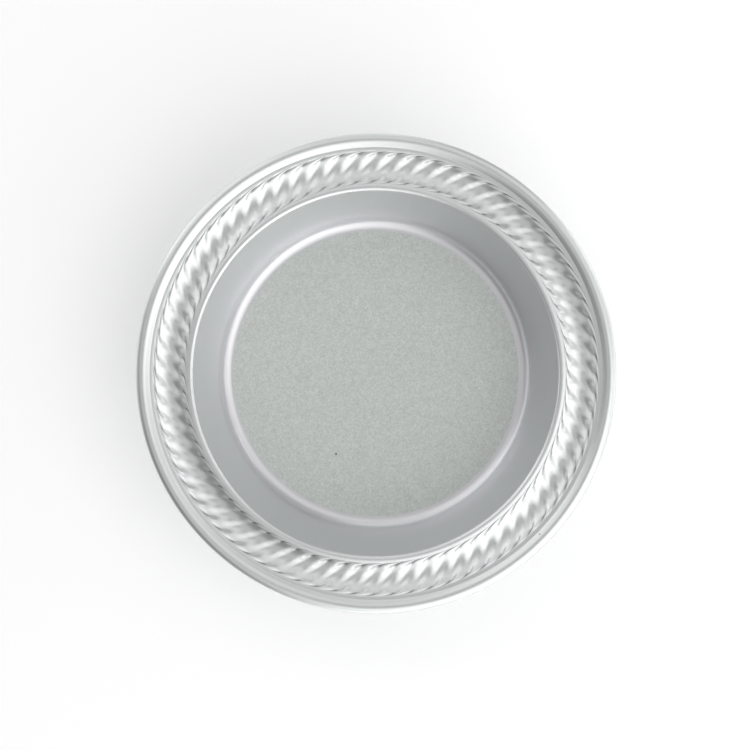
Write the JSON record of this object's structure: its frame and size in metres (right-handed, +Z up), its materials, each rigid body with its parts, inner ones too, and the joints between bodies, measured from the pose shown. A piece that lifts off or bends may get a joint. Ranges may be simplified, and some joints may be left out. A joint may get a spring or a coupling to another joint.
{
  "type": "mini pie pan",
  "caption": "Round one-piece baking pan with a steep tapered wall, a rounded floor corner, a wide rim with a rope-twist band in a shallow channel, and a rolled outer edge.",
  "frame": {"origin": "centre of the floor's underside, on the plane that the pan stands on", "axes": "+Z up along the pan's axis of turning"},
  "size_m": [0.1268, 0.1268, 0.0261],
  "materials": {
    "pan_metal": "satin"
  },
  "bodies": {
    "root": {"pan": "pan_metal"}
  },
  "joints": []
}
